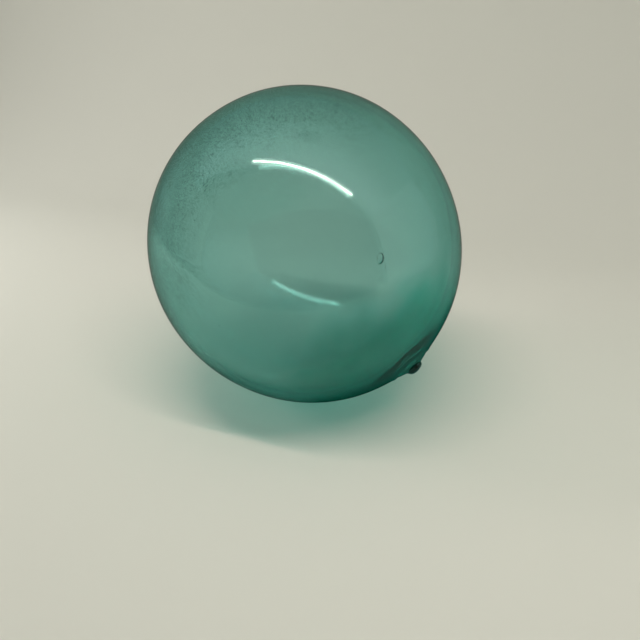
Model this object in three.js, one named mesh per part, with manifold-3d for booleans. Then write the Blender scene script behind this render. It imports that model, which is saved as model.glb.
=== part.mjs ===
// A hand-blown glass fishing float, lying on its side with its seal low and to the right.
// Millimetres, +Z up. The ground is z = 0, and the origin is the spot on it under the ball's centre.

import * as THREE from "three";
import { mergeVertices } from "three/addons/utils/BufferGeometryUtils.js";
import Module from "manifold-3d";

// The blown ball. It is a little longer along its seal axis than across, and drawn out towards the seal.
const BALL_ACROSS = 98.5;
const BALL_ALONG = 101.5;
const BALL_DRAW = 0.22;

// The seal: a small domed button on a foot that flares out into the ball.
const BUTTON_DIAMETER = 5.4;
const BUTTON_RISE = 1.5;
const BUTTON_SQUARENESS = 2.3;
const BUTTON_LEAN = 0.6;
const FOOT_RISE = 1.0;
const FOOT_REACH = 3.5;

// How the float lies: its seal axis dips under the level, and is turned from +X towards the front, -Y.
const SEAL_DIP = THREE.MathUtils.degToRad(36);
const SEAL_TURN = THREE.MathUtils.degToRad(37);

// The small flat that keeps the ball from rolling.
const FLAT_DIAMETER = 18;

// How finely the curves are cut into facets.
const FACETS_AROUND = 80;
const BUTTON_RINGS = 5;
const FOOT_RINGS = 7;
const FOOT_SPAN = 4;
const BALL_RINGS = 36;

// Distance from the ball's centre to its surface, at an angle from the seal axis.
function ballRadius(angle) {
  const mean = (BALL_ALONG + BALL_ACROSS) / 4;
  const oval = (BALL_ALONG - BALL_ACROSS) / 4;
  return mean + oval * Math.cos(2 * angle) + BALL_DRAW * Math.cos(3 * angle);
}

// How far the seal's foot stands above the ball, at a distance from the seal axis.
function footRise(distance) {
  const past = Math.max(distance - BUTTON_DIAMETER / 2, 0);
  return FOOT_RISE * Math.exp(-past / FOOT_REACH);
}

// A point of the outline: x is the distance from the seal axis, y the height along it.
function ballPoint(angle) {
  const radius = ballRadius(angle);
  const distance = radius * Math.sin(angle);
  const height = radius * Math.cos(angle);
  return new THREE.Vector2(distance, height + (height > 0 ? footRise(distance) : 0));
}

// The angle from the seal axis at which the ball is that far from the axis, near the seal.
function angleAt(distance) {
  let angle = 0;
  for (let step = 0; step < 20; step++) angle = Math.asin(distance / ballRadius(angle));
  return angle;
}

// The whole outline from the ball's far end, round to the tip of the seal.
function floatOutline() {
  const buttonRadius = BUTTON_DIAMETER / 2;
  const outline = [];
  const footEnd = angleAt(buttonRadius + FOOT_SPAN * FOOT_REACH);
  for (let ring = 0; ring <= BALL_RINGS; ring++) {
    outline.push(ballPoint(THREE.MathUtils.lerp(Math.PI, footEnd, ring / BALL_RINGS)));
  }
  for (let ring = FOOT_RINGS - 1; ring >= 0; ring--) {
    const past = FOOT_SPAN * FOOT_REACH * (ring / FOOT_RINGS) ** 1.5;
    outline.push(ballPoint(angleAt(buttonRadius + past)));
  }
  const buttonRoot = outline.at(-1).y;
  for (let ring = 1; ring <= BUTTON_RINGS; ring++) {
    const turn = (ring / BUTTON_RINGS) * (Math.PI / 2);
    const distance = buttonRadius * Math.cos(turn) ** (2 / BUTTON_SQUARENESS);
    const rise = BUTTON_RISE * Math.sin(turn) ** (2 / BUTTON_SQUARENESS);
    outline.push(new THREE.Vector2(distance, buttonRoot + rise));
  }
  outline[0].x = 0;
  outline.at(-1).x = 0;
  return outline;
}

// The way the seal points, as the float lies.
function sealDirection() {
  const level = Math.cos(SEAL_DIP);
  return new THREE.Vector3(
    level * Math.cos(SEAL_TURN),
    -level * Math.sin(SEAL_TURN),
    -Math.sin(SEAL_DIP),
  );
}

// The way the button leans, up and to the right, square to the seal axis.
function leanDirection() {
  const seal = sealDirection();
  const upAndRight = new THREE.Vector3(1, 0, 1);
  return upAndRight.addScaledVector(seal, -upAndRight.dot(seal)).normalize();
}

// Leans the button over: the higher a point is on it, the further it moves.
function leanButton(geometry, outline) {
  const seal = sealDirection();
  const lean = leanDirection();
  const tip = outline.at(-1).y;
  const points = geometry.attributes.position;
  const point = new THREE.Vector3();
  for (let index = 0; index < points.count; index++) {
    point.fromBufferAttribute(points, index);
    const height = (point.dot(seal) - tip) / BUTTON_RISE + 1;
    point.addScaledVector(lean, BUTTON_LEAN * Math.max(height, 0));
    points.setXYZ(index, point.x, point.y, point.z);
  }
}

// Height of the ball's centre over the ground, once its lowest part is cut to the flat.
function centreHeight(outline) {
  const down = -sealDirection().z;
  const sideways = Math.sqrt(1 - down ** 2);
  const lowest = Math.max(...outline.map((point) => point.y * down + point.x * sideways));
  const radius = (BALL_ALONG + BALL_ACROSS) / 4;
  const flatDepth = radius - Math.sqrt(radius ** 2 - (FLAT_DIAMETER / 2) ** 2);
  return lowest - flatDepth;
}

// A closed three.js geometry as a manifold solid.
function solidFrom(wasm, geometry) {
  const bare = geometry.clone();
  bare.deleteAttribute("normal");
  bare.deleteAttribute("uv");
  const merged = mergeVertices(bare, 1e-4);
  return new wasm.Manifold(
    new wasm.Mesh({
      numProp: 3,
      vertProperties: new Float32Array(merged.attributes.position.array),
      triVerts: new Uint32Array(merged.index.array),
    }),
  );
}

// A manifold solid as a three.js geometry.
function geometryFrom(solid) {
  const mesh = solid.getMesh();
  const geometry = new THREE.BufferGeometry();
  geometry.setAttribute("position", new THREE.BufferAttribute(mesh.vertProperties, 3));
  geometry.setIndex(new THREE.BufferAttribute(mesh.triVerts, 1));
  geometry.computeVertexNormals();
  return geometry;
}

// The ball and its seal as one solid, turned the way it lies and cut flat underneath.
function floatGeometry(wasm, outline, height) {
  const blown = new THREE.LatheGeometry(outline, FACETS_AROUND);
  const lie = new THREE.Quaternion().setFromUnitVectors(
    new THREE.Vector3(0, 1, 0),
    sealDirection(),
  );
  blown.applyQuaternion(lie);
  leanButton(blown, outline);
  const groundSide = 2 * BALL_ALONG;
  const ground = new THREE.BoxGeometry(groundSide, groundSide, BALL_ALONG);
  ground.translate(0, 0, -height - BALL_ALONG / 2);
  return geometryFrom(solidFrom(wasm, blown).subtract(solidFrom(wasm, ground)));
}

const wasm = await Module();
wasm.setup();

const tealGlass = new THREE.MeshStandardMaterial({
  color: 0x5fa893,
  roughness: 0.12,
  metalness: 0,
  transparent: true,
  opacity: 0.6,
});

const outline = floatOutline();
const height = centreHeight(outline);
const glassFloat = new THREE.Mesh(floatGeometry(wasm, outline, height), tealGlass);
glassFloat.name = "glass_float";
glassFloat.position.z = height;

const float = new THREE.Group();
float.add(glassFloat);

export default float;
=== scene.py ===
"""A hand-blown glass fishing float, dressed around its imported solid.

Metres, +Z up. The origin is on the ground, under the ball's centre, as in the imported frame.
"""

import logging
import math
from collections.abc import Iterator
from dataclasses import dataclass, field
from enum import Enum

import bpy
import numpy as np
from mathutils import Matrix, Vector


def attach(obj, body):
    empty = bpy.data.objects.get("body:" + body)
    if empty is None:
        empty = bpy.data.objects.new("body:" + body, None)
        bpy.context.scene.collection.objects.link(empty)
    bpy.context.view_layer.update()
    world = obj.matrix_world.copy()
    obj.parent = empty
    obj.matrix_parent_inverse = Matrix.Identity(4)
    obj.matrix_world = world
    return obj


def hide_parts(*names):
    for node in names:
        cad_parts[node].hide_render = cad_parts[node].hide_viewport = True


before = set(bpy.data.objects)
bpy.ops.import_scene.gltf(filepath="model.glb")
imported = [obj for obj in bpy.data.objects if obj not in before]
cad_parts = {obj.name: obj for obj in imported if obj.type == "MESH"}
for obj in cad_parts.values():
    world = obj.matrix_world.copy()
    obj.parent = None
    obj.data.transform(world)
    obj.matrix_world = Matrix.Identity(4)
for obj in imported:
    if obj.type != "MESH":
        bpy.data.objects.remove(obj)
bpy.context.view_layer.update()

MM = 0.001
NODE = "glass_float"
WHITE = (1.0, 1.0, 1.0, 1.0)
BLACK = (0.0, 0.0, 0.0, 1.0)

log = logging.getLogger("glass_float")


class Skin(Enum):
    """Which side of the glass a surface is on."""

    OUTSIDE = 1.0
    INSIDE = 0.0


def unit(vector: np.ndarray) -> np.ndarray:
    """Returns the vector at length one."""
    return vector / np.linalg.norm(vector)


def put_in_scene(name: str, data: bpy.types.ID) -> bpy.types.Object:
    """Makes an object and links it to the scene.

    Args:
        name: Its name.
        data: Its mesh, light or camera.

    Returns:
        The object.
    """
    thing = bpy.data.objects.new(name, data)
    bpy.context.scene.collection.objects.link(thing)
    return thing


def unseen_light(
    light: bpy.types.AreaLight, power: float, colour: tuple[float, float, float]
) -> bpy.types.Object:
    """Puts a light in the scene that lights things, but isn't seen or mirrored itself.

    Args:
        light: The light, with its shape and size.
        power: Its power.
        colour: Its colour.

    Returns:
        Its object.
    """
    light.energy = power
    light.color = colour
    lamp = put_in_scene(light.name, light)
    lamp.visible_glossy = lamp.visible_transmission = lamp.visible_camera = False
    return lamp


@dataclass(frozen=True)
class FloatForm:
    """The blown ball and its seal, round about the seal axis, with the part's own sizes."""

    across: float = 98.5 * MM
    along: float = 101.5 * MM
    draw: float = 0.22 * MM
    button_diameter: float = 5.4 * MM
    button_rise: float = 1.5 * MM
    button_squareness: float = 2.3
    button_lean: float = 0.6 * MM
    button_slant: float = 0.16
    foot_rise: float = 1.0 * MM
    foot_reach: float = 3.5 * MM
    seal_dip: float = math.radians(36)
    seal_turn: float = math.radians(37)
    flat_diameter: float = 18 * MM
    outline_steps: int = 720

    @property
    def mean_radius(self) -> float:
        """The ball's mean radius."""
        return (self.along + self.across) / 4

    @property
    def seal(self) -> np.ndarray:
        """The way the seal points."""
        level = math.cos(self.seal_dip)
        return np.array(
            [
                level * math.cos(self.seal_turn),
                -level * math.sin(self.seal_turn),
                -math.sin(self.seal_dip),
            ]
        )

    @property
    def lean(self) -> np.ndarray:
        """The way the button leans, up and to the right, square to the seal axis."""
        up_and_right = np.array([1.0, 0.0, 1.0])
        return unit(up_and_right - self.seal * (up_and_right @ self.seal))

    def radius(self, angle: np.ndarray) -> np.ndarray:
        """Gives the ball's radius.

        Args:
            angle: Angles from the seal axis.

        Returns:
            Distances from the ball's centre to its outside.
        """
        oval = (self.along - self.across) / 4
        return self.mean_radius + oval * np.cos(2 * angle) + self.draw * np.cos(3 * angle)

    def foot(self, distance: np.ndarray) -> np.ndarray:
        """Gives the height of the seal's foot over the ball.

        Args:
            distance: Distances from the seal axis.

        Returns:
            Heights along the seal axis.
        """
        past = np.maximum(distance - self.button_diameter / 2, 0)
        return self.foot_rise * np.exp(-past / self.foot_reach)

    def ball_outline(self, angle: np.ndarray) -> np.ndarray:
        """Gives the outside of the ball and the foot, without the button.

        Args:
            angle: Angles from the seal axis.

        Returns:
            Rows of the distance from the seal axis and the height along it.
        """
        distance = self.radius(angle) * np.sin(angle)
        height = self.radius(angle) * np.cos(angle)
        return np.stack([distance, height + np.where(height > 0, self.foot(distance), 0)], axis=1)

    def lowest(self) -> float:
        """Works out how far the ball reaches below its centre, before the flat is cut.

        Returns:
            The depth under the centre.
        """
        outline = self.ball_outline(np.linspace(0, math.pi, self.outline_steps + 1))
        down = -self.seal[2]
        return float(np.max(outline[:, 1] * down + outline[:, 0] * math.sqrt(1 - down**2)))

    @property
    def centre_height(self) -> float:
        """Height of the ball's centre over the ground."""
        flat = self.flat_diameter / 2
        depth = self.mean_radius - math.sqrt(self.mean_radius**2 - flat**2)
        return self.lowest() - depth

    @property
    def centre(self) -> np.ndarray:
        """The ball's centre."""
        return np.array([0.0, 0.0, self.centre_height])

    def on_ball(self, direction: np.ndarray) -> np.ndarray:
        """Gives the point of the ball's outside in a direction.

        Args:
            direction: A unit vector from the ball's centre.

        Returns:
            The point, in the frame.
        """
        angle = np.arccos(np.clip(direction @ self.seal, -1, 1))
        return self.centre + direction * self.radius(angle)


@dataclass(frozen=True)
class Ripple:
    """The slow unevenness of blown glass, as a sum of soft waves."""

    height: float
    longest: float = 60 * MM
    shortest: float = 20 * MM
    waves: int = 14
    seed: int = 11

    def at(self, points: np.ndarray) -> np.ndarray:
        """Gives the unevenness at some points.

        Args:
            points: Points, one a row.

        Returns:
            How far each point moves outwards.
        """
        draws = np.random.default_rng(self.seed)
        total = np.zeros(len(points))
        for _ in range(self.waves):
            way = unit(draws.normal(size=3))
            length = draws.uniform(self.shortest, self.longest)
            start = draws.uniform(0, 2 * math.pi)
            total += length * np.sin(points @ way * (2 * math.pi / length) + start)
        return self.height * total / (self.longest * math.sqrt(self.waves / 2))


@dataclass(frozen=True)
class Swell:
    """A place where the wall is thicker on its inner side."""

    towards: tuple[float, float, float]
    height: float
    reach: float

    def at(self, out: np.ndarray, radius: float) -> np.ndarray:
        """Gives the extra thickness of the wall.

        Args:
            out: Unit vectors from the ball's centre.
            radius: The ball's mean radius.

        Returns:
            The extra thickness for each vector.
        """
        angle = np.arccos(np.clip(out @ unit(np.array(self.towards)), -1, 1))
        return self.height * np.exp(-((angle * radius / self.reach) ** 2))


@dataclass(frozen=True)
class Bubble:
    """A pocket of air caught in the wall, flattened along it."""

    bearing: float
    rise: float
    depth: float
    length: float
    width: float
    thickness: float
    slant: float = 0.0
    around: int = 28
    rings: int = 14

    @property
    def direction(self) -> np.ndarray:
        """The way to the bubble from the ball's centre."""
        level = math.cos(self.rise)
        return np.array(
            [
                level * math.sin(self.bearing),
                -level * math.cos(self.bearing),
                math.sin(self.rise),
            ]
        )


@dataclass(frozen=True)
class SeedBubbles:
    """Fine seed bubbles, scattered through the wall."""

    count: int = 46
    seed: int = 5
    widths: tuple[float, float] = (0.16 * MM, 0.5 * MM)
    heights: tuple[float, float] = (-0.8, 0.98)
    depths: tuple[float, float] = (0.3, 0.7)
    stretches: tuple[float, float] = (1.0, 1.9)
    flatness: float = 0.7
    around: int = 10
    rings: int = 7

    def scatter(self) -> Iterator[Bubble]:
        """Scatters the bubbles.

        Yields:
            One bubble at a time.
        """
        draws = np.random.default_rng(self.seed)
        for _ in range(self.count):
            width = draws.uniform(*self.widths)
            yield Bubble(
                bearing=draws.uniform(-math.pi, math.pi),
                rise=math.asin(draws.uniform(*self.heights)),
                depth=draws.uniform(*self.depths),
                length=width * draws.uniform(*self.stretches),
                width=width,
                thickness=width * self.flatness,
                slant=draws.uniform(0, math.pi),
                around=self.around,
                rings=self.rings,
            )


@dataclass
class MeshParts:
    """Points, faces and skin values, gathered for one mesh."""

    points: list[np.ndarray] = field(default_factory=list)
    faces: list[tuple[int, ...]] = field(default_factory=list)
    skin: list[np.ndarray] = field(default_factory=list)
    count: int = 0

    def add_rings(
        self, first: np.ndarray, rings: np.ndarray, last: np.ndarray, skin: Skin
    ) -> None:
        """Adds a closed surface of rings between two poles.

        The faces point out when the rings run counter-clockwise, seen from the last pole. They are
        turned round for the inside of the glass.

        Args:
            first: The first pole.
            rings: The points between the poles, as rings by points around by three.
            last: The last pole.
            skin: The side of the glass that the surface is on.
        """
        many, around = rings.shape[:2]
        base = self.count
        top = base + 1 + many * around
        step = np.arange(around)
        after = (step + 1) % around
        faces = [(base, base + 1 + b, base + 1 + a) for a, b in zip(step, after)]
        for ring in range(many - 1):
            low = base + 1 + ring * around
            high = low + around
            faces += [(low + a, low + b, high + b, high + a) for a, b in zip(step, after)]
        edge = base + 1 + (many - 1) * around
        faces += [(edge + a, edge + b, top) for a, b in zip(step, after)]
        if skin is Skin.INSIDE:
            faces = [tuple(reversed(face)) for face in faces]
        self.faces += [tuple(int(index) for index in face) for face in faces]
        self.points += [first[None], rings.reshape(-1, 3), last[None]]
        self.count = top + 1
        self.skin.append(np.full(self.count - base, skin.value))

    def to_object(self, name: str) -> bpy.types.Object:
        """Makes the object, smooth all over.

        Args:
            name: The piece's name.

        Returns:
            The new object, linked to the scene.
        """
        mesh = bpy.data.meshes.new(name)
        mesh.from_pydata(np.concatenate(self.points).tolist(), [], self.faces)
        mesh.shade_smooth()
        values = mesh.attributes.new("outer_skin", "FLOAT", "POINT")
        values.data.foreach_set("value", np.concatenate(self.skin).astype(np.float32))
        mesh.update()
        return put_in_scene(name, mesh)


@dataclass(frozen=True)
class ClearGlass:
    """Teal glass, with how much light of each colour a metre of it takes.

    The tints colour its skin, its flecks and its thicker glass near the seal; the deep tint also
    paints shade towards the bottom. The shares are what each skin lets straight through of the
    lamps' light and of the light from the things around.
    """

    absorbs: tuple[float, float, float] = (84.0, 32.0, 35.0)
    bend: float = 1.54
    skin_tint: tuple[float, float, float] = (0.59, 0.815, 0.795)
    # Thicker glass near the seal, and painted shade towards the bottom.
    deep_tint_and_shade: tuple[float, float, float] = (0.02, 0.72, 0.62)
    fleck_tint: tuple[float, float, float] = (0.02, 0.06, 0.05)
    lamp_share: tuple[float, float, float] = (0.46, 0.74, 0.72)
    sky_share: tuple[float, float, float] = (0.84, 0.93, 0.92)
    density_margin: float = 1.06

    def absorption(self) -> tuple[tuple[float, float, float, float], float]:
        """Works out the volume that takes as much light as the glass does.

        Returns:
            The volume's colour and its density.
        """
        # The density is a little over the strongest absorption, so no channel of the colour is 0.
        density = max(self.absorbs) * self.density_margin
        colour = tuple(1 - value / density for value in self.absorbs)
        return (*colour, 1.0), density


class NodeBench:
    """A node tree with short calls to place and join nodes."""

    def __init__(self, tree: bpy.types.NodeTree) -> None:
        """Takes the tree to work in.

        Args:
            tree: A material's or a group's node tree.
        """
        self.tree = tree

    def place(self, kind: str, **settings: object) -> bpy.types.Node:
        """Places a node.

        Args:
            kind: The node's type.
            settings: Its own settings by name.

        Returns:
            The node.
        """
        node = self.tree.nodes.new(kind)
        for name, value in settings.items():
            setattr(node, name, value)
        return node

    def join(self, source: bpy.types.NodeSocket, target: bpy.types.NodeSocket) -> None:
        """Joins an output to an input.

        Args:
            source: The output.
            target: The input.
        """
        self.tree.links.new(source, target)

    def feed(self, target: bpy.types.NodeSocket, value: object) -> None:
        """Sets an input from an output or a plain value.

        Args:
            target: The input.
            value: An output socket, or the value.
        """
        if isinstance(value, bpy.types.NodeSocket):
            self.join(value, target)
        else:
            target.default_value = value

    def maths(self, operation: str, *values: object) -> bpy.types.NodeSocket:
        """Places a Math node.

        Args:
            operation: What it does.
            values: Its inputs, as outputs or plain values.

        Returns:
            Its output.
        """
        node = self.place("ShaderNodeMath", operation=operation)
        for target, value in zip(node.inputs, values):
            self.feed(target, value)
        return node.outputs[0]

    def mix(
        self, share: bpy.types.NodeSocket, first: object, last: object
    ) -> bpy.types.NodeSocket:
        """Places a mix of two colours.

        Args:
            share: How much of the last colour there is.
            first: The first colour.
            last: The last colour.

        Returns:
            Its output.
        """
        node = self.place("ShaderNodeMix", data_type="RGBA")
        # Inputs 6 and 7 and output 2 are the ones for colours.
        for index, given in ((0, share), (6, first), (7, last)):
            self.feed(node.inputs[index], given)
        return node.outputs[2]

    def ramp(
        self, value: object, low: float, high: float, first: object = 0.0, last: object = 1.0
    ) -> bpy.types.NodeSocket:
        """Places a smooth step.

        Args:
            value: What is stepped.
            low: Where the step starts.
            high: Where it ends.
            first: The result at the start.
            last: The result at the end.

        Returns:
            Its output.
        """
        node = self.place("ShaderNodeMapRange", interpolation_type="SMOOTHSTEP")
        for target, given in zip(node.inputs, (value, low, high, first, last)):
            self.feed(target, given)
        return node.outputs[0]

    def noise(
        self, place: bpy.types.NodeSocket, size: float, detail: float = 2.0, rough: float = 0.5
    ) -> bpy.types.NodeSocket:
        """Places a noise of a given grain.

        Args:
            place: Where it is read.
            size: The width of its grain.
            detail: How many finer layers it has.
            rough: How strong they are.

        Returns:
            Its value.
        """
        node = self.place("ShaderNodeTexNoise")
        self.join(place, node.inputs["Vector"])
        node.inputs["Scale"].default_value = 1 / size
        node.inputs["Detail"].default_value = detail
        node.inputs["Roughness"].default_value = rough
        return node.outputs["Fac"]

    def facing(
        self,
        place: bpy.types.NodeSocket,
        centre: tuple[float, float, float],
        side: tuple[float, float, float],
        radius: float,
    ) -> bpy.types.NodeSocket:
        """Places the nodes that tell how far a place lies from a centre towards one side.

        Args:
            place: Where it is read.
            centre: The centre.
            side: The way to that side.
            radius: The distance that counts as 1, such as the ball's radius.

        Returns:
            The share of that distance, which is below 0 on the other side.
        """
        from_centre = self.place("ShaderNodeVectorMath", operation="SUBTRACT")
        self.join(place, from_centre.inputs[0])
        from_centre.inputs[1].default_value = centre
        along = self.place("ShaderNodeVectorMath", operation="DOT_PRODUCT")
        self.join(from_centre.outputs["Vector"], along.inputs[0])
        along.inputs[1].default_value = tuple(unit(np.array(side)) / radius)
        return along.outputs["Value"]


class GlassGroup(NodeBench):
    """A node group that is given a place on the glass and its skin value, and puts out numbers."""

    def __init__(self, name: str, results: tuple[str, ...]) -> None:
        """Makes the group and its sockets.

        Args:
            name: The group's name.
            results: The names of what it puts out.
        """
        super().__init__(bpy.data.node_groups.new(name, "ShaderNodeTree"))
        sockets = self.tree.interface
        for given, kind in (("Place", "NodeSocketVector"), ("Skin", "NodeSocketFloat")):
            sockets.new_socket(given, in_out="INPUT", socket_type=kind)
        for result in results:
            sockets.new_socket(result, in_out="OUTPUT", socket_type="NodeSocketFloat")
        self.given = self.place("NodeGroupInput")
        self.result = self.place("NodeGroupOutput")


@dataclass(frozen=True)
class SeaWear:
    """Fine flecks, scratches and haze from years in sand and water, worst in a band on one side.

    The limits say where a noise, or how far a place lies towards a side, begins to count and where
    it counts in full.
    """

    centre: tuple[float, float, float]
    side: tuple[float, float, float] = (-0.70, 0.24, 0.66)
    band_axis: tuple[float, float, float] = (0.0, -0.94, 0.342)
    radius: float = 50 * MM
    side_limits: tuple[float, float] = (-0.05, 0.55)
    band_limits: tuple[float, float] = (0.25, 0.75)
    patch_size: float = 7.0 * MM
    patch_limits: tuple[float, float] = (0.2, 0.8)
    patch_shift: float = 0.12
    speck_size: float = 0.36 * MM
    speck_limits: tuple[float, float] = (0.57, 0.72)
    fleck_size: float = 0.45 * MM
    fleck_limits: tuple[float, float] = (0.535, 0.60)
    scratch_size: float = 1.7 * MM
    scratch_width: float = 0.08
    scratch_limits: tuple[float, float] = (0.52, 0.58)
    scratch_spread: float = 0.8
    pebble_size: float = 0.9 * MM
    fleck_depth: float = 0.012 * MM
    pebble_depth: float = 0.001 * MM
    clear_roughness: float = 0.015
    skin_roughness: float = 0.24
    worn_roughness: float = 0.04

    def group(self) -> bpy.types.NodeTree:
        """Builds the group, which puts out the roughness, the flecks and the surface's height.

        Returns:
            The node group.
        """
        bench = GlassGroup("sea_wear", ("Roughness", "Flecks", "Height"))
        place, skin = bench.given.outputs["Place"], bench.given.outputs["Skin"]
        zone = bench.maths("MULTIPLY", self.zone(bench, place), skin)
        flecks = bench.maths("MULTIPLY", self.flecks(bench, place), zone)
        specks = bench.noise(place, self.speck_size, rough=0.6)
        specks = bench.ramp(specks, *self.speck_limits)
        extent = bench.maths("MULTIPLY_ADD", zone, self.worn_roughness, self.skin_roughness)
        extent = bench.maths("MULTIPLY", bench.maths("MULTIPLY", specks, extent), skin)
        rough = bench.maths("ADD", extent, self.clear_roughness)
        pebbles = bench.maths("MULTIPLY", bench.noise(place, self.pebble_size), skin)
        pebbles = bench.maths("MULTIPLY", pebbles, self.pebble_depth)
        pits = bench.maths("MULTIPLY", flecks, self.fleck_depth)
        height = bench.maths("SUBTRACT", pebbles, pits)
        for name, value in (("Roughness", rough), ("Flecks", flecks), ("Height", height)):
            bench.join(value, bench.result.inputs[name])
        return bench.tree

    def zone(self, bench: NodeBench, place: bpy.types.NodeSocket) -> bpy.types.NodeSocket:
        """Places the nodes that tell how worn a place is.

        Args:
            bench: The group's nodes.
            place: Where it is read.

        Returns:
            The wear, from 0 to 1.
        """
        facing = bench.facing(place, self.centre, self.side, self.radius)
        patches = bench.noise(place, self.patch_size, detail=3.0, rough=0.6)
        shift = self.patch_shift
        patches = bench.ramp(patches, *self.patch_limits, -shift, shift)
        near = bench.ramp(bench.maths("ADD", facing, patches), *self.side_limits)
        off_band = bench.facing(place, self.centre, self.band_axis, self.radius)
        off_band = bench.maths("ADD", bench.maths("ABSOLUTE", off_band), patches)
        band = bench.ramp(off_band, *self.band_limits, 1.0, 0.0)
        return bench.maths("MULTIPLY", near, band)

    def flecks(self, bench: NodeBench, place: bpy.types.NodeSocket) -> bpy.types.NodeSocket:
        """Places the nodes for the pits, and for the short bent scratches between them.

        Args:
            bench: The group's nodes.
            place: Where they are read.

        Returns:
            The flecks, from 0 to 1.
        """
        pits = bench.noise(place, self.fleck_size, detail=3.0, rough=0.62)
        pits = bench.ramp(pits, *self.fleck_limits)
        # The scratches follow the lines along which a noise is at its middle value.
        lines = bench.maths("SUBTRACT", bench.noise(place, self.scratch_size), 0.5)
        lines = bench.maths("ABSOLUTE", lines)
        lines = bench.ramp(lines, 0.0, self.scratch_width, 1.0, 0.0)
        where = bench.noise(place, self.scratch_size * self.scratch_spread, detail=1.0)
        where = bench.ramp(where, *self.scratch_limits)
        return bench.maths("MAXIMUM", pits, bench.maths("MULTIPLY", lines, where))


@dataclass(frozen=True)
class DeepColourAndShade:
    """The stronger green of thick glass at the seal, and painted shade towards the bottom.

    The limits say where a noise, or how far a place lies towards that side, begins to count and
    where it counts in full.
    """

    centre: tuple[float, float, float]
    side: tuple[float, float, float] = (0.58, -0.30, -0.76)
    radius: float = 50 * MM
    side_limits: tuple[float, float] = (0.50, 0.98)
    pale: float = 0.75
    streak_size: float = 22 * MM
    streak_limits: tuple[float, float] = (0.3, 0.7)
    streak_shift: float = 0.08

    def group(self) -> bpy.types.NodeTree:
        """Builds the group, which puts out the depth of the green and the strength of the tint.

        Returns:
            The node group.
        """
        bench = GlassGroup("deep_colour_and_shade", ("Depth", "Strength"))
        place = bench.given.outputs["Place"]
        facing = bench.facing(place, self.centre, self.side, self.radius)
        shift = self.streak_shift
        streaks = bench.noise(place, self.streak_size)
        streaks = bench.ramp(streaks, *self.streak_limits, -shift, shift)
        # Darker and greener towards the seal and the bottom: thicker glass near the seal, painted
        # shade low down.
        depth = bench.ramp(bench.maths("ADD", facing, streaks), *self.side_limits)
        strength = bench.maths("MULTIPLY_ADD", depth, 1 - self.pale, self.pale)
        strength = bench.maths("MULTIPLY", strength, bench.given.outputs["Skin"])
        bench.join(depth, bench.result.inputs["Depth"])
        bench.join(strength, bench.result.inputs["Strength"])
        return bench.tree


class GlassMaterial:
    """The float's glass: clear, teal by its depth, and worn on its outer skin."""

    def __init__(self, glass: ClearGlass, wear: SeaWear, deep: DeepColourAndShade) -> None:
        """Takes the glass, its wear and its deeper parts.

        Args:
            glass: The glass itself.
            wear: The wear on its skin.
            deep: Where its colour is stronger: thicker glass near the seal, and painted shade
            towards the bottom.
        """
        self.glass = glass
        self.wear = wear
        self.deep = deep

    def build(self) -> bpy.types.Material:
        """Builds the material.

        Returns:
            The material.
        """
        material = bpy.data.materials.new("teal_blown_glass")
        material.use_nodes = True
        material.node_tree.nodes.clear()
        bench = NodeBench(material.node_tree)
        place = bench.place("ShaderNodeTexCoord").outputs["Object"]
        skin = bench.place("ShaderNodeAttribute", attribute_name="outer_skin").outputs["Fac"]
        groups = []
        for tree in (self.wear.group(), self.deep.group()):
            group = bench.place("ShaderNodeGroup", node_tree=tree)
            bench.join(place, group.inputs["Place"])
            bench.join(skin, group.inputs["Skin"])
            groups.append(group)
        wear, deep = groups

        shader = bench.place("ShaderNodeBsdfPrincipled")
        shader.inputs["Metallic"].default_value = 0.0
        shader.inputs["Transmission Weight"].default_value = 1.0
        shader.inputs["IOR"].default_value = self.glass.bend
        # The coat bends no light, so that it only tints the skin. Its weight rises towards the
        # seal
        # and the bottom: thicker glass near the seal, and painted shade low down.
        bench.join(deep.outputs["Strength"], shader.inputs["Coat Weight"])
        shader.inputs["Coat IOR"].default_value = 1.0
        shader.inputs["Coat Tint"].default_value = (*self.glass.skin_tint, 1.0)
        # The base colour goes darker and greener towards the seal and the bottom: thicker glass,
        # and painted shade.
        tint = bench.mix(deep.outputs["Depth"], WHITE, (*self.glass.deep_tint_and_shade, 1.0))
        tint = bench.mix(wear.outputs["Flecks"], tint, (*self.glass.fleck_tint, 1.0))
        bench.join(tint, shader.inputs["Base Color"])
        bench.join(wear.outputs["Roughness"], shader.inputs["Roughness"])
        bump = bench.place("ShaderNodeBump")
        bump.inputs["Strength"].default_value = 1.0
        bump.inputs["Distance"].default_value = 1.0
        bench.join(wear.outputs["Height"], bump.inputs["Height"])
        bench.join(bump.outputs["Normal"], shader.inputs["Normal"])

        self.finish(bench, shader)
        return material

    def finish(self, bench: NodeBench, shader: bpy.types.Node) -> None:
        """Lets the light of lamps and of things around through, and adds the depth of colour.

        Args:
            bench: The material's nodes.
            shader: The glass shader.
        """
        path = bench.place("ShaderNodeLightPath")
        surface = shader.outputs["BSDF"]
        for ray, share in (
            ("Is Shadow Ray", self.glass.lamp_share),
            ("Is Diffuse Ray", self.glass.sky_share),
        ):
            clear = bench.place("ShaderNodeBsdfTransparent")
            clear.inputs["Color"].default_value = (*share, 1.0)
            mix = bench.place("ShaderNodeMixShader")
            bench.join(path.outputs[ray], mix.inputs[0])
            bench.join(surface, mix.inputs[1])
            bench.join(clear.outputs[0], mix.inputs[2])
            surface = mix.outputs[0]
        depth = bench.place("ShaderNodeVolumeAbsorption")
        colour, density = self.glass.absorption()
        depth.inputs["Color"].default_value = colour
        depth.inputs["Density"].default_value = density
        output = bench.place("ShaderNodeOutputMaterial")
        bench.join(surface, output.inputs["Surface"])
        bench.join(depth.outputs[0], output.inputs["Volume"])


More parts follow.
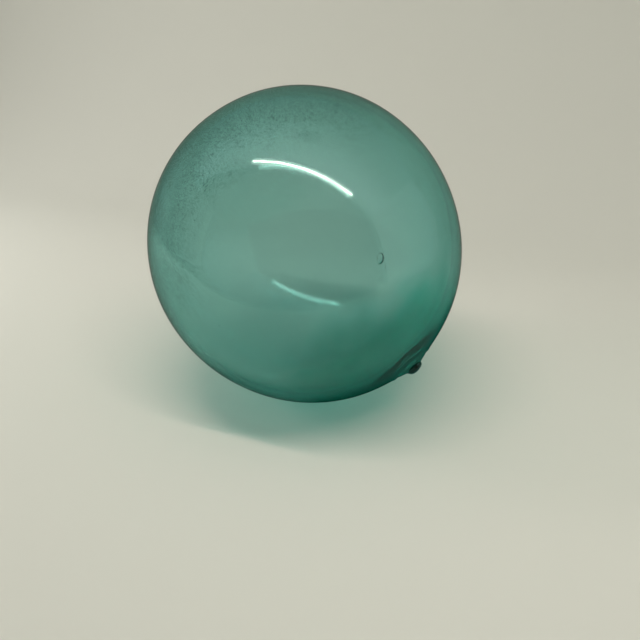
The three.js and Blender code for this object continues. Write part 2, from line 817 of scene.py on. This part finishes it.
@dataclass
class GlassFloat:
    """The hollow ball of glass with its fused seal, and the bubbles caught in its wall."""

    form: FloatForm = field(default_factory=FloatForm)
    wall: float = 2.6 * MM
    seal_lump: float = 0.4 * MM
    seal_lump_reach: float = 20 * MM
    cavity_offset: float = 0.5 * MM
    swells: tuple[Swell, ...] = (Swell((-0.42, -0.50, 0.76), 0.8 * MM, 20 * MM),)
    fold_ring: float = 6.6 * MM
    fold_depth: float = 0.14 * MM
    fold_width: float = 0.55 * MM
    flat_softness: float = 0.22 * MM
    around: int = 256
    ball_rings: int = 116
    foot_rings: int = 56
    foot_span: float = 4.0
    foot_bunching: float = 1.5
    button_rings: int = 22
    seal_smoothing: int = 16
    cavity_around: int = 224
    cavity_rings: int = 128
    outer_ripple: Ripple = field(default_factory=lambda: Ripple(height=0.05 * MM, seed=11))
    inner_ripple: Ripple = field(default_factory=lambda: Ripple(height=0.04 * MM, seed=23))
    bubble: Bubble = field(
        default_factory=lambda: Bubble(
            bearing=math.radians(24),
            rise=math.radians(15.2),
            depth=0.5,
            length=2.9 * MM,
            width=1.9 * MM,
            thickness=0.55 * MM,
            slant=math.radians(12),
        )
    )
    seeds: SeedBubbles = field(default_factory=SeedBubbles)

    def turned(self, outline: np.ndarray, around: int) -> np.ndarray:
        """Turns an outline about the seal axis.

        Args:
            outline: Rows of distance from the axis and height along it.
            around: How many points go round.

        Returns:
            Points from the ball's centre, as rings by points around by three.
        """
        axis, lean = self.form.seal, self.form.lean
        side = np.cross(axis, lean)
        turn = np.linspace(0, 2 * math.pi, around, endpoint=False)
        out = np.cos(turn)[:, None] * lean + np.sin(turn)[:, None] * side
        return outline[:, 0, None, None] * out[None] + outline[:, 1, None, None] * axis

    def outer_outline(self) -> tuple[np.ndarray, float]:
        """Works out the outside from the far end to the tip of the seal.

        Returns:
            Rows of distance and height, and the height of the button's root.
        """
        form = self.form
        root_distance = form.button_diameter / 2
        foot_end = math.asin((root_distance + self.foot_span * form.foot_reach) / form.mean_radius)
        root = math.asin(root_distance / form.radius(np.array(0.0)))
        ball = np.linspace(math.pi, foot_end, self.ball_rings + 1)[:-1]
        share = np.linspace(1, 0, self.foot_rings + 1)
        foot = root + (foot_end - root) * share**self.foot_bunching
        body = form.ball_outline(np.concatenate([ball, foot]))
        root_height = body[-1, 1]
        turn = np.linspace(0, math.pi / 2, self.button_rings + 1)[1:]
        power = 2 / form.button_squareness
        button = np.stack(
            [
                root_distance * np.cos(turn) ** power,
                root_height + form.button_rise * np.sin(turn) ** power,
            ],
            axis=1,
        )
        outline = np.concatenate([body, button])
        start = self.ball_rings + self.foot_rings // 2
        for _ in range(self.seal_smoothing):
            soft = (outline[:-2] + 2 * outline[1:-1] + outline[2:]) / 4
            outline[start:-2] = soft[start - 1 : -1]
        # The fold is lowest one width inside its ring and highest one width outside it.
        past = (outline[:, 0] - self.fold_ring) / self.fold_width
        fold = self.fold_depth * past * np.exp(0.5 - past**2 / 2)
        outline[:, 1] += np.where(outline[:, 1] > 0, fold, 0)
        outline[0, 0] = outline[-1, 0] = 0
        return outline, float(root_height)

    def outside(self) -> np.ndarray:
        """Works out the outside's points.

        Returns:
            Points in the frame, as rings by points around by three. The poles are whole rings.
        """
        form = self.form
        outline, root = self.outer_outline()
        points = self.turned(outline, self.around)
        height = points @ form.seal
        lean = points @ form.lean
        rise = np.clip((height - root) / form.button_rise, 0, None)[..., None]
        points = points + rise * form.button_lean * form.lean
        points = points - rise * (form.button_slant * lean)[..., None] * form.seal
        points = self.rippled(points, self.outer_ripple) + form.centre
        soft = self.flat_softness
        points[..., 2] = soft * np.logaddexp(points[..., 2] / soft, 0)
        return points

    def cavity(self) -> np.ndarray:
        """Works out the points of the hollow inside.

        Returns:
            Points in the frame, as rings by points around by three. The poles are whole rings.
        """
        form = self.form
        angle = np.linspace(math.pi, 0, self.cavity_rings + 1)
        radius = form.radius(angle) - self.wall
        outline = np.stack([radius * np.sin(angle), radius * np.cos(angle)], axis=1)
        points = self.turned(outline, self.cavity_around)
        size = np.linalg.norm(points, axis=2)
        out = points / size[..., None]
        lump = Swell(tuple(form.seal), self.seal_lump, self.seal_lump_reach)
        for swell in (lump, *self.swells):
            size = size - swell.at(out, form.mean_radius)
        points = out * size[..., None] - form.seal * self.cavity_offset
        return self.rippled(points, self.inner_ripple) + form.centre

    def rippled(self, points: np.ndarray, ripple: Ripple) -> np.ndarray:
        """Moves points out or in by the glass's unevenness.

        Args:
            points: Points from the ball's centre.
            ripple: The unevenness.

        Returns:
            The moved points.
        """
        flat = points.reshape(-1, 3)
        out = flat / np.linalg.norm(flat, axis=1, keepdims=True)
        return (flat + out * ripple.at(flat)[:, None]).reshape(points.shape)

    def pocket(self, bubble: Bubble) -> tuple[np.ndarray, np.ndarray, np.ndarray]:
        """Works out a bubble's points.

        Args:
            bubble: The bubble.

        Returns:
            Its first pole, its rings and its last pole.
        """
        out = bubble.direction
        middle = self.form.on_ball(out) - out * self.wall * bubble.depth
        east = unit(np.cross([0.0, 0.0, 1.0], out))
        north = np.cross(out, east)
        long = north * math.cos(bubble.slant) + east * math.sin(bubble.slant)
        wide = np.cross(long, out)
        turn = np.linspace(0, 2 * math.pi, bubble.around, endpoint=False)
        rise = np.linspace(-math.pi / 2, math.pi / 2, bubble.rings + 1)[1:-1]
        level = np.cos(rise)[:, None, None]
        rings = (
            middle
            + level * np.cos(turn)[None, :, None] * wide * bubble.width / 2
            + level * np.sin(turn)[None, :, None] * long * bubble.length / 2
            + np.sin(rise)[:, None, None] * out * bubble.thickness / 2
        )
        pole = out * bubble.thickness / 2
        return middle - pole, rings, middle + pole

    def build(self) -> bpy.types.Object:
        """Builds the float and ties it to the frame.

        Returns:
            The piece.
        """
        parts = MeshParts()
        for points, skin in ((self.outside(), Skin.OUTSIDE), (self.cavity(), Skin.INSIDE)):
            parts.add_rings(points[0, 0], points[1:-1], points[-1, 0], skin)
        for bubble in (self.bubble, *self.seeds.scatter()):
            parts.add_rings(*self.pocket(bubble), Skin.INSIDE)
        piece = parts.to_object("blown_glass_float")
        centre = tuple(self.form.centre)
        glass = GlassMaterial(ClearGlass(), SeaWear(centre), DeepColourAndShade(centre))
        piece.data.materials.append(glass.build())
        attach(piece, "root")
        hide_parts(NODE)
        return piece


@dataclass(frozen=True)
class PhotoCamera:
    """The camera, where the ball's centre comes out at its place in the picture."""

    frame_pixels: float = 640.0
    focal_pixels: float = 612.0
    centre_pixel: tuple[float, float] = (305.75, 248.55)
    look_down: float = math.radians(20)
    distance: float = 201.6 * MM
    sensor: float = 36.0
    nearest: float = 5 * MM

    def build(self, centre: np.ndarray) -> None:
        """Makes the camera and puts it to use.

        Args:
            centre: The ball's centre.
        """
        sight = np.array([0.0, math.cos(self.look_down), -math.sin(self.look_down)])
        half = self.frame_pixels / 2
        across = (self.centre_pixel[0] - half) / self.focal_pixels
        up = (half - self.centre_pixel[1]) / self.focal_pixels
        seen = Vector((across, up, -1.0)).normalized()
        swing = math.atan2(seen.y, seen.z)
        # Of the two pitches that fit, the smaller one keeps the camera upright.
        pitch = swing + math.acos(sight[2] / math.hypot(seen.y, seen.z))
        pitch = min((pitch % (2 * math.pi), (2 * swing - pitch) % (2 * math.pi)))
        pitched = Matrix.Rotation(pitch, 3, "X") @ seen
        turn = math.pi / 2 - math.atan2(pitched.y, pitched.x)
        data = bpy.data.cameras.new("photo_camera")
        data.sensor_width = self.sensor
        data.lens = self.focal_pixels * self.sensor / self.frame_pixels
        data.clip_start = self.nearest
        camera = put_in_scene("photo_camera", data)
        camera.rotation_euler = (pitch, 0.0, turn)
        camera.location = centre - sight * self.distance
        bpy.context.scene.camera = camera


@dataclass(frozen=True)
class Matt:
    """A matt paper or cloth of one colour, which may glow, and whose glow may fade front and back.

    The glow rises between the first two depths of the fade, and falls to the faded share between
    the other two.
    """

    name: str
    colour: tuple[float, float, float]
    glow: float = 0.0
    back_way: tuple[float, float, float] = (0.0, 1.0, 0.0)
    fade: tuple[float, float, float, float] | None = None
    faded: float = 0.08
    surface: float = 1.0
    roughness: float = 0.9
    specular: float = 0.1

    def build(self) -> bpy.types.Material:
        """Builds the material.

        Returns:
            The material.
        """
        material = bpy.data.materials.new(self.name)
        material.use_nodes = True
        shader = material.node_tree.nodes["Principled BSDF"]
        surface = tuple(channel * self.surface for channel in self.colour)
        shader.inputs["Base Color"].default_value = (*surface, 1.0)
        shader.inputs["Roughness"].default_value = self.roughness
        shader.inputs["Specular IOR Level"].default_value = self.specular
        shader.inputs["Emission Color"].default_value = (*self.colour, 1.0)
        shader.inputs["Emission Strength"].default_value = self.glow
        if self.fade:
            bench = NodeBench(material.node_tree)
            place = bench.place("ShaderNodeTexCoord").outputs["Object"]
            depth = bench.facing(place, (0.0, 0.0, 0.0), self.back_way, 1.0)
            near = bench.ramp(depth, *self.fade[:2])
            far = bench.ramp(depth, *self.fade[2:], 1.0, self.faded)
            share = bench.maths("MULTIPLY", near, far)
            colour = bench.mix(share, BLACK, (*self.colour, 1.0))
            bench.join(colour, shader.inputs["Emission Color"])
        return material


@dataclass(frozen=True)
class PhotoBox:
    """A pale box, open in front, with a sheet that curves up behind and a glowing top.

    Its own axes run along its front edge and straight back from it.
    """

    turn: float = math.radians(-21.9)
    front: float = -133 * MM
    sheet_front: float = -170 * MM
    curve_start: float = 150 * MM
    curve: float = 190 * MM
    curve_steps: int = 24
    left: float = -480 * MM
    left_front: float = -400 * MM
    right: float = 440 * MM
    top: float = 356 * MM
    under: float = 0.04 * MM
    hole: tuple[float, float] = (12 * MM, 23 * MM)
    hole_radius: float = 30 * MM
    hole_drop: float = 1 * MM
    hole_steps: int = 16
    hole_colour: tuple[float, float, float] = (0.3, 0.3, 0.3)
    hole_glow: float = 0.8
    top_fade: tuple[float, float, float, float] = (-140 * MM, -80 * MM, -70 * MM, 115 * MM)
    sheet_colour: tuple[float, float, float] = (0.70, 0.70, 0.642)
    side_colour: tuple[float, float, float] = (0.62, 0.62, 0.60)
    top_colour: tuple[float, float, float] = (0.97, 0.98, 1.0)
    left_glow: float = 0.12
    right_glow: float = 0.62
    top_glow: float = 0.62
    top_surface: float = 0.7

    def build(self) -> list[bpy.types.Object]:
        """Makes the sheet, the sides and the top with its hole.

        Returns:
            The panels.
        """
        turns = np.linspace(0, math.pi / 2, self.curve_steps + 1)
        sheet = [(self.sheet_front, 0.0), (0.0, 0.0), (self.curve_start, 0.0)]
        sheet += [
            (self.curve_start + self.curve * math.sin(t), self.curve * (1 - math.cos(t)))
            for t in turns[1:]
        ]
        back = self.curve_start + self.curve
        sheet.append((back, self.top))
        rows = [
            [(across, depth, height - self.under) for depth, height in sheet]
            for across in (self.left, self.right)
        ]
        panels = [self.panel("sheet", rows, Matt("pale_paper", self.sheet_colour))]
        for name, across, front, glow in (
            ("left_side", self.left, self.left_front, self.left_glow),
            ("right_side", self.right, self.front, self.right_glow),
        ):
            rows = [
                [(across, depth, height) for depth in (front, back)]
                for height in (-self.under, self.top)
            ]
            panels.append(self.panel(name, rows, Matt(f"{name}_cloth", self.side_colour, glow)))
        rows = [
            [(across, depth, self.top) for across in (self.left, self.right)]
            for depth in (self.front, back)
        ]
        back_way = (-math.sin(self.turn), math.cos(self.turn), 0.0)
        cloth = Matt(
            "top_cloth",
            self.top_colour,
            self.top_glow,
            back_way,
            self.top_fade,
            surface=self.top_surface,
        )
        panels.append(self.panel("top", rows, cloth))
        hole = Matt("dark_hole", self.hole_colour, self.hole_glow)
        panels.append(self.panel("top_hole", self.disc(), hole))
        return panels

    def disc(self) -> list[list[tuple[float, float, float]]]:
        """Works out the hole in the top, as a dark disc just under it.

        Returns:
            The disc's front and back edges, in the box's own axes.
        """
        turn = np.linspace(0, math.pi, self.hole_steps + 1)
        across, depth = self.hole
        return [
            [
                (
                    across + self.hole_radius * math.cos(t),
                    depth + side * self.hole_radius * math.sin(t),
                    self.top - self.hole_drop,
                )
                for t in turn
            ]
            for side in (-1, 1)
        ]

    def panel(
        self, name: str, rows: list[list[tuple[float, float, float]]], matt: Matt
    ) -> bpy.types.Object:
        """Makes one panel between two rows of points.

        Args:
            name: The panel's name.
            rows: Its two long edges, in the box's own axes.
            matt: What it is made of.

        Returns:
            The panel.
        """
        first, last = rows
        count = len(first)
        faces = [(i, i + 1, count + i + 1, count + i) for i in range(count - 1)]
        mesh = bpy.data.meshes.new(name)
        mesh.from_pydata([*first, *last], [], faces)
        mesh.shade_smooth()
        mesh.transform(Matrix.Rotation(self.turn, 4, "Z"))
        mesh.materials.append(matt.build())
        piece = put_in_scene(name, mesh)
        return piece


@dataclass(frozen=True)
class StripLamp:
    """A strip of small lamps above the front of the float, as the glass mirrors it."""

    left: tuple[float, float, float] = (-150 * MM, -52 * MM, 349 * MM)
    right: tuple[float, float, float] = (185 * MM, -190 * MM, 349 * MM)
    lamps: int = 42
    core_size: float = 2.6 * MM
    core_glow: float = 1000.0
    lamp_size: float = 7.8 * MM
    lamp_glow: float = 30.0
    halo_size: float = 25 * MM
    halo_glow: float = 6.5
    layer_gap: float = 0.3 * MM
    corners: int = 12
    width: float = 14 * MM
    aim: tuple[float, float, float] = (0.0, 5 * MM, 0.0)
    power: float = 0.68
    colour: tuple[float, float, float] = (1.0, 0.97, 0.87)

    def build(self, target: np.ndarray) -> list[bpy.types.Object]:
        """Makes the small lamps that the glass mirrors, and the light that they give.

        Args:
            target: The ball's centre. The strip faces it, shifted by the aim.

        Returns:
            The rows of lamps.
        """
        left, right = Vector(self.left), Vector(self.right)
        middle = (left + right) / 2
        along = (right - left).normalized()
        facing = (Vector(target) + Vector(self.aim) - middle).normalized()
        facing = (facing - along * facing.dot(along)).normalized()
        turn = Matrix((along, (-facing).cross(along), -facing)).transposed()
        nearer = turn @ Vector((0, 0, -self.layer_gap))
        rows = []
        for step, (name, size, glow) in enumerate(
            (
                ("lamp_halos", self.halo_size, self.halo_glow),
                ("lamp_bodies", self.lamp_size, self.lamp_glow),
                ("lamp_cores", self.core_size, self.core_glow),
            )
        ):
            ends = (left + nearer * step, right + nearer * step)
            rows.append(self.lamp_row(name, ends, turn, size, glow))

        light = bpy.data.lights.new("strip_light", "AREA")
        light.shape = "RECTANGLE"
        light.size = (right - left).length
        light.size_y = self.width
        lamp = unseen_light(light, self.power, self.colour)
        lamp.matrix_world = Matrix.Translation(middle) @ turn.to_4x4()
        return rows

    def lamp_row(
        self, name: str, ends: tuple[Vector, Vector], turn: Matrix, size: float, glow: float
    ) -> bpy.types.Object:
        """Makes a row of small round lights.

        Args:
            name: The row's name.
            ends: The middles of the first and the last one.
            turn: The strip's own axes.
            size: Their diameter.
            glow: How bright they are.

        Returns:
            The row.
        """
        points: list[Vector] = []
        faces: list[tuple[int, ...]] = []
        for lamp in range(self.lamps):
            middle = ends[0].lerp(ends[1], lamp / (self.lamps - 1))
            base = len(points)
            for corner in range(self.corners):
                angle = 2 * math.pi * corner / self.corners
                rim = Vector((math.cos(angle), math.sin(angle), 0)) * size / 2
                points.append(middle + turn @ rim)
            faces.append(tuple(range(base, base + self.corners)))
        mesh = bpy.data.meshes.new(name)
        mesh.from_pydata([tuple(point) for point in points], [], faces)
        row = put_in_scene(name, mesh)
        material = bpy.data.materials.new(f"{name}_glow")
        material.use_nodes = True
        material.node_tree.nodes.clear()
        bench = NodeBench(material.node_tree)
        emission = bench.place("ShaderNodeEmission")
        emission.inputs["Color"].default_value = (*self.colour, 1.0)
        emission.inputs["Strength"].default_value = glow
        output = bench.place("ShaderNodeOutputMaterial")
        bench.join(emission.outputs[0], output.inputs["Surface"])
        mesh.materials.append(material)
        row.visible_diffuse = row.visible_camera = row.visible_shadow = False
        return row


@dataclass(frozen=True)
class RoomLight:
    """The dim light of the room in front of the box, and a soft light on the paper's left."""

    strength: float = 0.095
    colour: tuple[float, float, float] = (1.0, 0.98, 0.94)
    fill_place: tuple[float, float, float] = (-360 * MM, 60 * MM, 150 * MM)
    fill_target: tuple[float, float, float] = (-40 * MM, 280 * MM, 30 * MM)
    fill_size: float = 160 * MM
    fill_power: float = 0.46

    def build(self) -> None:
        """Sets the world's light and makes the soft light."""
        light = bpy.data.lights.new("soft_fill", "AREA")
        light.shape = "DISK"
        light.size = self.fill_size
        fill = unseen_light(light, self.fill_power, self.colour)
        way = Vector(self.fill_target) - Vector(self.fill_place)
        fill.rotation_euler = way.to_track_quat("-Z", "Y").to_euler()
        fill.location = self.fill_place
        world = bpy.data.worlds.new("room_light")
        world.use_nodes = True
        background = world.node_tree.nodes["Background"]
        background.inputs["Color"].default_value = (*self.colour, 1.0)
        background.inputs["Strength"].default_value = self.strength
        bpy.context.scene.world = world


def main() -> None:
    """Builds the camera, the float, the stage and the lights, and reports each piece."""
    logging.basicConfig(level=logging.INFO, format="%(message)s")
    glass_float = GlassFloat()
    centre = glass_float.form.centre
    PhotoCamera().build(centre)
    for piece in (glass_float.build(), *PhotoBox().build(), *StripLamp().build(centre)):
        log.info("%s: %d faces", piece.name, len(piece.data.polygons))
    RoomLight().build()
    bpy.context.scene.view_settings.view_transform = "Standard"


if __name__ == "__main__":
    main()
